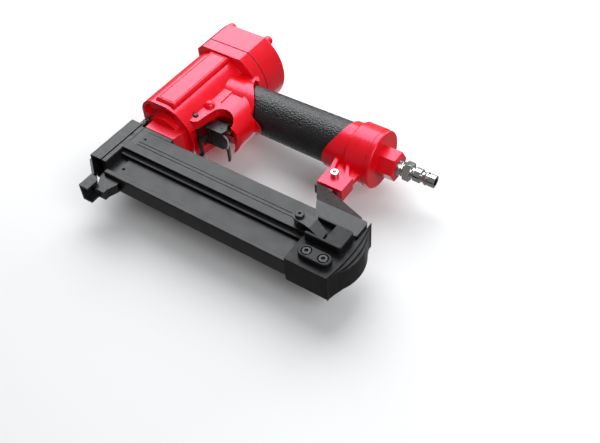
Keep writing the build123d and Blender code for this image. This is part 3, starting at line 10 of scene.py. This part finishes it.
import bpy
import numpy as np
from mathutils import Matrix, Vector, noise

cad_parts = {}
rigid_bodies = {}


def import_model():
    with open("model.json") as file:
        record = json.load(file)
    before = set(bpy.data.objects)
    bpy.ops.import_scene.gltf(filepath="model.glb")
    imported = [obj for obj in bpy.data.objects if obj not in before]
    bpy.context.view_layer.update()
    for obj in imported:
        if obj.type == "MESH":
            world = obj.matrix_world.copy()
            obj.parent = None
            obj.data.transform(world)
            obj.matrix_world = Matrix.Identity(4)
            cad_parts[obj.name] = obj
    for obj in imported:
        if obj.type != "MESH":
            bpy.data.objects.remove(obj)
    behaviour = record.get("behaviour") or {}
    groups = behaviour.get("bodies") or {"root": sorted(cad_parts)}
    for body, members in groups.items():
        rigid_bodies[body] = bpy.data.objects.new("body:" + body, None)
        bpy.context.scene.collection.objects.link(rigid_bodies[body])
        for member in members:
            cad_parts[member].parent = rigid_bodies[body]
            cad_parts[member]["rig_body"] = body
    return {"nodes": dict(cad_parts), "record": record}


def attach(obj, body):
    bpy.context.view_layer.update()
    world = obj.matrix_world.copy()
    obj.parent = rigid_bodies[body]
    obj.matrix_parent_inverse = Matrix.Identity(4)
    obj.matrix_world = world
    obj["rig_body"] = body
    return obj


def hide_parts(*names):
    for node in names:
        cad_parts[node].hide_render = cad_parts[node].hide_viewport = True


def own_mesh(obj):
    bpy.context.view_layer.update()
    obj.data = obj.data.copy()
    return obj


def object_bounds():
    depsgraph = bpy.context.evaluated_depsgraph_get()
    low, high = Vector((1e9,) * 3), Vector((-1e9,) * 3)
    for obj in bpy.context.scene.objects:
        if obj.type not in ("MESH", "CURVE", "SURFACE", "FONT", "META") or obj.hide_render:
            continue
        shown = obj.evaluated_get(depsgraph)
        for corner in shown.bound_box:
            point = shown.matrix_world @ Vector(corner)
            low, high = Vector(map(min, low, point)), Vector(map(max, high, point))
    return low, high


MM = 0.001

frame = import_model()
cad_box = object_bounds()
nodes = frame["nodes"]
record = frame["record"]
scene = bpy.context.scene


# ----------------------------------------------------------------------------
# Materials
# ----------------------------------------------------------------------------
class Finish:
    """A Principled material with a few procedural layers, in the row frame's coordinates."""

    def __init__(self, name, color, roughness, metallic=0.0, specular=0.5, rounding=0.35 * MM):
        self.material = bpy.data.materials.new(name)
        self.material.use_nodes = True
        self.tree = self.material.node_tree
        self.shader = self.tree.nodes["Principled BSDF"]
        self.place = self.add("ShaderNodeTexCoord").outputs["Object"]
        self.shader.inputs["Metallic"].default_value = metallic
        self.shader.inputs["Specular IOR Level"].default_value = specular
        self.color = self.rgb(color)
        self.roughness = self.value(roughness)
        self.height = None
        edge = self.add("ShaderNodeBevel", samples=4)
        edge.inputs["Radius"].default_value = rounding
        self.normal = edge.outputs["Normal"]
        self.rounded = self.normal

    def add(self, kind, **settings):
        made = self.tree.nodes.new(kind)
        for key, value in settings.items():
            setattr(made, key, value)
        return made

    def link(self, output, socket):
        self.tree.links.new(output, socket)

    def rgb(self, color):
        made = self.add("ShaderNodeRGB")
        made.outputs[0].default_value = (*color, 1.0)
        return made.outputs[0]

    def value(self, number):
        made = self.add("ShaderNodeValue")
        made.outputs[0].default_value = number
        return made.outputs[0]

    def math(self, operation, first, second):
        made = self.add("ShaderNodeMath", operation=operation)
        for socket, item in zip(made.inputs, (first, second)):
            if isinstance(item, (int, float)):
                socket.default_value = item
            else:
                self.link(item, socket)
        return made.outputs[0]

    def noise(self, size, detail=3.0, stretch=(1, 1, 1), soft=0.55):
        """Noise whose blobs are about `size` metres wide, longer along the axes with stretch above 1."""
        mapping = self.add("ShaderNodeMapping")
        mapping.inputs["Scale"].default_value = [1 / (size * s) for s in stretch]
        self.link(self.place, mapping.inputs["Vector"])
        made = self.add("ShaderNodeTexNoise")
        made.inputs["Scale"].default_value = 1.0
        made.inputs["Detail"].default_value = detail
        made.inputs["Roughness"].default_value = soft
        self.link(mapping.outputs[0], made.inputs["Vector"])
        return made.outputs["Fac"]

    def band(self, source, low, high, out_low=0.0, out_high=1.0):
        made = self.add("ShaderNodeMapRange", interpolation_type="SMOOTHSTEP")
        for key, item in (("From Min", low), ("From Max", high), ("To Min", out_low), ("To Max", out_high)):
            made.inputs[key].default_value = item
        self.link(source, made.inputs["Value"])
        return made.outputs["Result"]

    def tint(self, share, color):
        """Mixes the base colour with another by a share between 0 and 1."""
        made = self.add("ShaderNodeMix", data_type="RGBA")
        sockets = {item.identifier: item for item in made.inputs}
        self.link(share, sockets["Factor_Float"])
        self.link(self.color, sockets["A_Color"])
        sockets["B_Color"].default_value = (*color, 1.0)
        self.color = {item.identifier: item for item in made.outputs}["Result_Color"]
        return self

    def vary_roughness(self, source, amount):
        shift = self.band(source, 0.25, 0.75, -amount, amount)
        self.roughness = self.math("ADD", self.roughness, shift)
        return self

    def relief(self, source, depth):
        """Adds source times depth, in metres, to the bump height."""
        layer = self.math("MULTIPLY", source, depth)
        self.height = layer if self.height is None else self.math("ADD", self.height, layer)
        return self

    def edges(self, color, low=0.985, high=0.90, rough=0.0):
        """Wear and a painted highlight where the surface turns sharply: the rounded normal leaves the true
        one there.
        """
        geometry = self.add("ShaderNodeNewGeometry")
        dot = self.add("ShaderNodeVectorMath", operation="DOT_PRODUCT")
        self.link(self.rounded, dot.inputs[0])
        self.link(geometry.outputs["Normal"], dot.inputs[1])
        turned = self.band(dot.outputs["Value"], low, high)
        # A lighter tint on sharp edges, broken up by noise: wear and a painted highlight
        wear_and_sheen = self.math("MULTIPLY", turned, self.band(self.noise(2.2 * MM, 4), 0.42, 0.62))
        self.tint(wear_and_sheen, color)
        if rough:
            self.roughness = self.math("ADD", self.roughness, self.math("MULTIPLY", wear_and_sheen, rough))
        return self

    def coat(self, weight, roughness):
        self.shader.inputs["Coat Weight"].default_value = weight
        self.shader.inputs["Coat Roughness"].default_value = roughness
        self.link(self.rounded, self.shader.inputs["Coat Normal"])
        return self

    def done(self):
        if self.height is not None:
            bump = self.add("ShaderNodeBump")
            bump.inputs["Distance"].default_value = 1.0
            bump.inputs["Strength"].default_value = 1.0
            self.link(self.height, bump.inputs["Height"])
            self.link(self.rounded, bump.inputs["Normal"])
            self.normal = bump.outputs["Normal"]
        self.link(self.normal, self.shader.inputs["Normal"])
        self.link(self.color, self.shader.inputs["Base Color"])
        self.link(self.roughness, self.shader.inputs["Roughness"])
        return self.material


def enamel():
    """Glossy red enamel over a die casting, with a faint orange peel."""
    f = Finish("red_enamel", (0.86, 0.002, 0.004), 0.31, specular=0.85, rounding=0.5 * MM)
    f.shader.inputs["Specular Tint"].default_value = (1.0, 0.42, 0.82, 1.0)
    f.tint(f.band(f.noise(9 * MM, 2), 0.3, 0.7, 0.0, 0.35), (0.74, 0.001, 0.004))
    f.vary_roughness(f.noise(4 * MM), 0.04)
    f.relief(f.noise(1.9 * MM, 1.5), 0.012 * MM)
    f.relief(f.noise(0.45 * MM, 1), 0.002 * MM)
    return f.coat(0.22, 0.14).done()


def anodised():
    """Satin black anodised extrusion, with die lines along X."""
    f = Finish("black_anodised", (0.006, 0.006, 0.007), 0.37, metallic=0.1, specular=0.45, rounding=0.5 * MM)
    lines = f.noise(0.5 * MM, 3, stretch=(160, 1, 1))
    f.tint(f.band(lines, 0.35, 0.7, 0.0, 0.5), (0.011, 0.011, 0.012))
    # Lighter sharp edges: wear and a painted highlight
    f.edges((0.12, 0.12, 0.13), rough=-0.04)
    f.vary_roughness(lines, 0.05)
    f.vary_roughness(f.noise(11 * MM, 3), 0.05)
    f.relief(lines, 0.006 * MM)
    f.relief(f.noise(0.25 * MM, 2), 0.003 * MM)
    return f.done()


def black_oxide():
    """Blackened sheet steel with faint rubbing and a painted highlight on its edges."""
    f = Finish("black_oxide_steel", (0.012, 0.012, 0.013), 0.34, metallic=0.2, specular=0.5,
               rounding=0.25 * MM)
    f.tint(f.band(f.noise(3 * MM, 4), 0.4, 0.75, 0.0, 0.6), (0.026, 0.026, 0.028))
    # Lighter sharp edges: rubbing and a painted highlight
    f.edges((0.18, 0.18, 0.19), rough=-0.06)
    f.vary_roughness(f.noise(2.5 * MM, 4), 0.08)
    f.relief(f.noise(0.6 * MM, 4), 0.010 * MM)
    return f.done()


def moulded():
    """Satin moulded black nylon with a fine spark-eroded grain."""
    f = Finish("black_nylon", (0.006, 0.006, 0.007), 0.46, specular=0.28, rounding=0.4 * MM)
    f.tint(f.band(f.noise(6 * MM, 3), 0.35, 0.7, 0.0, 0.5), (0.011, 0.011, 0.012))
    # Lighter sharp edges: wear and a painted highlight
    f.edges((0.055, 0.055, 0.058))
    f.vary_roughness(f.noise(5 * MM, 2), 0.05)
    f.relief(f.noise(0.35 * MM, 3), 0.014 * MM)
    return f.done()


def bright_steel():
    """Zinc plated steel, lightly brushed."""
    f = Finish("zinc_steel", (0.60, 0.60, 0.61), 0.26, metallic=1.0, rounding=0.2 * MM)
    grain = f.noise(0.2 * MM, 3, stretch=(9, 9, 1))
    f.tint(f.band(f.noise(1.4 * MM, 3), 0.35, 0.7, 0.0, 0.6), (0.46, 0.46, 0.48))
    f.vary_roughness(grain, 0.08)
    f.relief(grain, 0.003 * MM)
    return f.done()


def ground_steel():
    """Ground tool steel with lines along the stroke."""
    f = Finish("ground_steel", (0.42, 0.42, 0.43), 0.24, metallic=1.0, rounding=0.1 * MM)
    grain = f.noise(0.15 * MM, 3, stretch=(1, 1, 60))
    f.tint(f.band(grain, 0.3, 0.7, 0.0, 0.6), (0.30, 0.30, 0.31))
    f.vary_roughness(grain, 0.08)
    f.relief(grain, 0.003 * MM)
    return f.done()


def spring_wire():
    """Drawn spring wire with a light oil film."""
    f = Finish("spring_wire", (0.30, 0.30, 0.31), 0.30, metallic=1.0, rounding=0.05 * MM)
    f.tint(f.band(f.noise(0.8 * MM, 3), 0.4, 0.7), (0.19, 0.19, 0.20))
    f.vary_roughness(f.noise(0.5 * MM, 3), 0.10)
    f.relief(f.noise(0.2 * MM, 2), 0.004 * MM)
    return f.done()


def chrome():
    """Bright nickel plating with turning marks round the handle axis and a few dull spots."""
    f = Finish("plated_plug", (0.62, 0.61, 0.59), 0.10, metallic=1.0, rounding=0.2 * MM)
    turning = f.noise(0.18 * MM, 2, stretch=(1, 300, 300))
    f.tint(f.band(f.noise(1.6 * MM, 4), 0.5, 0.75, 0.0, 0.55), (0.46, 0.45, 0.43))
    f.vary_roughness(f.noise(1.2 * MM, 3), 0.07)
    f.relief(turning, 0.004 * MM)
    return f.done()


def aluminium():
    """Turned bare aluminium."""
    f = Finish("turned_aluminium", (0.62, 0.62, 0.63), 0.30, metallic=1.0, rounding=0.2 * MM)
    turning = f.noise(0.2 * MM, 2, stretch=(300, 300, 1))
    f.tint(f.band(turning, 0.3, 0.7, 0.0, 0.5), (0.50, 0.50, 0.52))
    f.vary_roughness(turning, 0.06)
    f.relief(turning, 0.004 * MM)
    return f.done()


def brass():
    """Turned brass with a slight tarnish."""
    f = Finish("turned_brass", (0.62, 0.44, 0.17), 0.27, metallic=1.0, rounding=0.2 * MM)
    turning = f.noise(0.2 * MM, 2, stretch=(300, 300, 1))
    f.tint(f.band(f.noise(2 * MM, 4), 0.45, 0.7, 0.0, 0.6), (0.40, 0.27, 0.11))
    f.vary_roughness(turning, 0.08)
    f.relief(turning, 0.004 * MM)
    return f.done()


def seal():
    """Smooth nitrile rubber."""
    f = Finish("nitrile", (0.012, 0.012, 0.012), 0.45, specular=0.4)
    f.tint(f.band(f.noise(2 * MM, 3), 0.4, 0.7, 0.0, 0.5), (0.025, 0.025, 0.025))
    f.vary_roughness(f.noise(1 * MM, 3), 0.08)
    f.relief(f.noise(0.3 * MM, 2), 0.004 * MM)
    return f.done()


def gasket():
    """Fibre gasket with short fibres, its edge tinted by the red enamel."""
    f = Finish("fibre_gasket", (0.20, 0.006, 0.010), 0.75, specular=0.3)
    fibres = f.noise(0.25 * MM, 4, stretch=(3, 1, 1))
    f.tint(f.band(fibres, 0.45, 0.65, 0.0, 0.7), (0.12, 0.012, 0.014))
    f.relief(fibres, 0.02 * MM)
    return f.done()


def soft_grip():
    """Soft black grip: the cells are real relief, so the shader only adds pores and wear on their tops."""
    f = Finish("grip_foam_rubber", (0.007, 0.007, 0.008), 0.36, specular=0.6, rounding=0.1 * MM)
    f.tint(f.band(f.noise(7 * MM, 3), 0.35, 0.7, 0.0, 0.6), (0.014, 0.014, 0.015))
    f.tint(f.band(f.noise(0.5 * MM, 3), 0.55, 0.75, 0.0, 0.5), (0.034, 0.034, 0.036))
    f.vary_roughness(f.noise(1.1 * MM, 3), 0.10)
    f.relief(f.noise(0.3 * MM, 3), 0.05 * MM)
    return f.done()


finishes = {
    "red_paint": enamel(),
    "black_anodised": anodised(),
    "black_plastic": moulded(),
    "black_steel": black_oxide(),
    "bright_steel": bright_steel(),
    "blade_steel": ground_steel(),
    "spring_steel": spring_wire(),
    "chrome": chrome(),
    "grip_rubber": soft_grip(),
    "seal_rubber": seal(),
    "gasket": gasket(),
    "bare_aluminium": aluminium(),
    "brass": brass(),
}


def dress(obj, slot_name):
    """Gives every material slot of an object the same finish."""
    if not obj.material_slots:
        obj.data.materials.append(finishes[slot_name])
    for holder in obj.material_slots:
        holder.material = finishes[slot_name]


for part in record["subparts"]:
    dress(nodes[part["node"]], part["material_slot"])


# ----------------------------------------------------------------------------
# Soft grip: a sleeve with a real pebbled relief, cut on a slant at the neck
# ----------------------------------------------------------------------------
GRIP_AXIS_Z = 148.0
GRIP_INNER_R = 16.62
# Distance along the handle and height of the two slanted edges, from the bottom up
GRIP_FRONT = [(54.4, 128.0), (54.4, 129.5), (54.7, 133.0), (51.1, 140.0), (44.7, 148.0), (36.7, 161.4),
              (39.6, 161.5), (39.6, 182.0)]
GRIP_REAR = [(124.7, 124.0), (130.9, 130.2), (136.3, 139.5), (137.9, 147.0), (139.3, 156.0),
             (141.2, 172.0)]
GRIP_SPAN = (20.0, 142.0)     # where the radius is given
GRIP_R = (18.95, 20.45)
GRIP_STEPS_X, GRIP_STEPS_ROUND = 300, 380
GRIP_FRONT_R = 19.2       # radius at which the front edge is cut
GRIP_EDGE = 1.3           # radius of the rolled edges
CELL = 1.9                # size of the relief's cells
CELL_DEPTH = 0.48
NOISE_SEED = 3            # else noise_vector differs from run to run
CREASE = 0.34             # share of a cell over which its crease slopes up
BEND_SIZE, BEND = 2.6, 0.55     # noise that bends the cells out of shape
SWELL_SIZE, SWELL = 3.7, 0.28   # noise that makes some cells lower


def cells_at(x, y, z):
    """Relief height between 0, in a crease, and 1, on top of a cell."""
    place = Vector((x, y, z))
    bend = noise.noise_vector(place / BEND_SIZE) * BEND
    near = noise.voronoi((place + bend) / CELL)[0]
    crease = min(1.0, (near[1] - near[0]) / CREASE)
    swell = 0.5 + 0.5 * noise.noise(place / SWELL_SIZE)
    return (crease * (2.0 - crease)) * ((1.0 - SWELL) + SWELL * swell)


def edge_at(edge, radius, turn):
    """Distance along the handle of a slanted edge at an angle round the grip."""
    xs, zs = zip(*edge)
    return float(np.interp(GRIP_AXIS_Z + radius * math.cos(turn), zs, xs))


def grip_mesh():
    """Rings of points along the sleeve's outside, from its front edge to its rear edge."""
    points, faces = [], []
    count = GRIP_STEPS_ROUND
    for i in range(GRIP_STEPS_X + 1):
        share = i / GRIP_STEPS_X
        for k in range(count):
            turn = 2 * math.pi * k / count
            start = edge_at(GRIP_FRONT, GRIP_FRONT_R, turn)
            end = edge_at(GRIP_REAR, GRIP_R[1], turn)
            x = start + (end - start) * share
            radius = np.interp(x, GRIP_SPAN, GRIP_R)
            inset = min(x - start, end - x)
            roll = max(0.0, 1.0 - inset / GRIP_EDGE)
            radius -= GRIP_EDGE * (1.0 - math.sqrt(max(0.0, 1.0 - roll * roll)))
            y, z = radius * math.sin(turn), radius * math.cos(turn)
            radius -= CELL_DEPTH * (1.0 - cells_at(x, y, z)) * (1.0 - roll)
            points.append((x * MM, radius * math.sin(turn) * MM,
                           (GRIP_AXIS_Z + radius * math.cos(turn)) * MM))
    for i in range(GRIP_STEPS_X):
        for k in range(count):
            a, b = i * count + k, i * count + (k + 1) % count
            faces.append((a, b, b + count, a + count))
    # Inside wall and the two end faces
    for edge in (GRIP_FRONT, GRIP_REAR):
        for k in range(count):
            turn = 2 * math.pi * k / count
            x = edge_at(edge, GRIP_INNER_R, turn)
            points.append((x * MM, GRIP_INNER_R * math.sin(turn) * MM,
                           (GRIP_AXIS_Z + GRIP_INNER_R * math.cos(turn)) * MM))
    inner_front, inner_rear = (GRIP_STEPS_X + 1) * count, (GRIP_STEPS_X + 2) * count
    outer_end = GRIP_STEPS_X * count
    for k in range(count):
        n = (k + 1) % count
        faces.append((inner_front + k, inner_front + n, n, k))
        faces.append((outer_end + k, outer_end + n, inner_rear + n, inner_rear + k))
        faces.append((inner_rear + k, inner_rear + n, inner_front + n, inner_front + k))
    mesh = bpy.data.meshes.new("grip_sleeve_soft")
    mesh.from_pydata(points, [], faces)
    mesh.validate()
    mesh.polygons.foreach_set("use_smooth", [True] * len(mesh.polygons))
    return mesh


def stand_in(name, mesh, node, slot_name):
    """Puts a mesh in the place of a CAD node, on the node's body and with the slot's finish."""
    made = bpy.data.objects.new(name, mesh)
    scene.collection.objects.link(made)
    dress(made, slot_name)
    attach(made, nodes[node]["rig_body"])
    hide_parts(node)
    return made


noise.seed_set(NOISE_SEED)
stand_in("grip_sleeve_soft", grip_mesh(), "grip_sleeve", "grip_rubber")


# ----------------------------------------------------------------------------
# Springs: copies of the spring nodes' meshes, each put in its node's place
# ----------------------------------------------------------------------------
SPRINGS = [
    # node, joint that presses its low end, axis of the coil
    ("head_valve_spring", "head_valve_lift", (0, 0, 1)),
    ("trigger_valve_spring", "valve_stem_lift", (0, 0, 1)),
    ("safety_springs", "contact_press", (0, 0, 1)),
    ("pusher_spring", "pusher_travel", (1, 0, 0)),
]
for node, joint, axis in SPRINGS:
    coil = stand_in(node + "_coil", nodes[node].data.copy(), node, "spring_steel")
    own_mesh(coil)


# ----------------------------------------------------------------------------
# Floor, lights and camera
# ----------------------------------------------------------------------------
FLOOR_GAP = 0.6 * MM      # between the tool's right side and the floor
FLOOR_Y = cad_box[1].y + FLOOR_GAP
FLOOR_HALF = 3.0
FLOOR_CORNERS = [(-FLOOR_HALF, FLOOR_Y, -FLOOR_HALF), (FLOOR_HALF, FLOOR_Y, -FLOOR_HALF),
                 (FLOOR_HALF, FLOOR_Y, FLOOR_HALF), (-FLOOR_HALF, FLOOR_Y, FLOOR_HALF)]
floor_mesh = bpy.data.meshes.new("floor")
floor_mesh.from_pydata(FLOOR_CORNERS, [], [(0, 1, 2, 3)])
floor = bpy.data.objects.new("floor", floor_mesh)
scene.collection.objects.link(floor)
ground = bpy.data.materials.new("pale_floor")
ground.use_nodes = True
tree = ground.node_tree
paint = tree.nodes["Principled BSDF"]
paint.inputs["Base Color"].default_value = (0.80, 0.80, 0.80, 1)
paint.inputs["Roughness"].default_value = 0.7
# Clear from behind, so that the tool's right side can be seen through it
clear = tree.nodes.new("ShaderNodeBsdfTransparent")
side = tree.nodes.new("ShaderNodeNewGeometry")
mix = tree.nodes.new("ShaderNodeMixShader")
tree.links.new(side.outputs["Backfacing"], mix.inputs[0])
tree.links.new(paint.outputs[0], mix.inputs[1])
tree.links.new(clear.outputs[0], mix.inputs[2])
tree.links.new(mix.outputs[0], tree.nodes["Material Output"].inputs["Surface"])
floor_mesh.materials.append(ground)
floor.visible_diffuse = False
floor.visible_glossy = False
floor.visible_transmission = False
floor.visible_shadow = False

world = bpy.data.worlds.new("studio")
scene.world = world
world.use_nodes = True
world.node_tree.nodes["Background"].inputs["Color"].default_value = (1.0, 1.0, 1.0, 1)
world.node_tree.nodes["Background"].inputs["Strength"].default_value = 0.22

CENTRE = Vector((0.085, 0.0, 0.10))
LAMP_COLOR = (0.96, 0.98, 1.0)
SOFTBOXES = [
    # name, direction, distance, size and power; the key is mirrored to the camera by the left side
    ("key", (-0.41, -0.74, 0.53), 1.1, (1.25, 1.0), 17.0),
    ("fill", (0.8, -0.7, -0.2), 1.3, (0.8, 0.8), 9.0),
    ("top", (0.1, -0.35, 1.0), 1.2, (0.7, 0.5), 4.0),
    ("back", (-0.3, 0.9, 0.35), 1.4, (1.2, 1.2), 3.0),
]
for name, direction, distance, size, power in SOFTBOXES:
    light = bpy.data.lights.new(name, "AREA")
    light.shape = "RECTANGLE"
    light.size, light.size_y = size
    light.energy = power
    light.color = LAMP_COLOR
    lamp = bpy.data.objects.new(name, light)
    scene.collection.objects.link(lamp)
    toward = Vector(direction).normalized()
    lamp.location = CENTRE + toward * distance
    lamp.rotation_mode = "QUATERNION"
    lamp.rotation_quaternion = toward.to_track_quat("Z", "Y")

# Camera at the left, rear and underside of the tool, with its right and up directions
CAMERA_PLACE = Vector((0.4027, -0.4551, -0.2703))
CAMERA_RIGHT = Vector((0.8263, 0.0508, 0.5610))
CAMERA_UP = Vector((-0.3879, -0.6709, 0.6320))
camera_data = bpy.data.cameras.new("camera")
camera_data.sensor_width = 36.0
camera_data.sensor_fit = "HORIZONTAL"
camera_data.lens = 49.0
camera_data.clip_start = 0.01
camera = bpy.data.objects.new("camera", camera_data)
scene.collection.objects.link(camera)
camera_axes = Matrix((CAMERA_RIGHT, CAMERA_UP, CAMERA_RIGHT.cross(CAMERA_UP))).transposed()
camera.matrix_world = Matrix.Translation(CAMERA_PLACE) @ camera_axes.to_4x4()
scene.camera = camera
scene.view_settings.view_transform = "Standard"
scene.view_settings.look = "None"
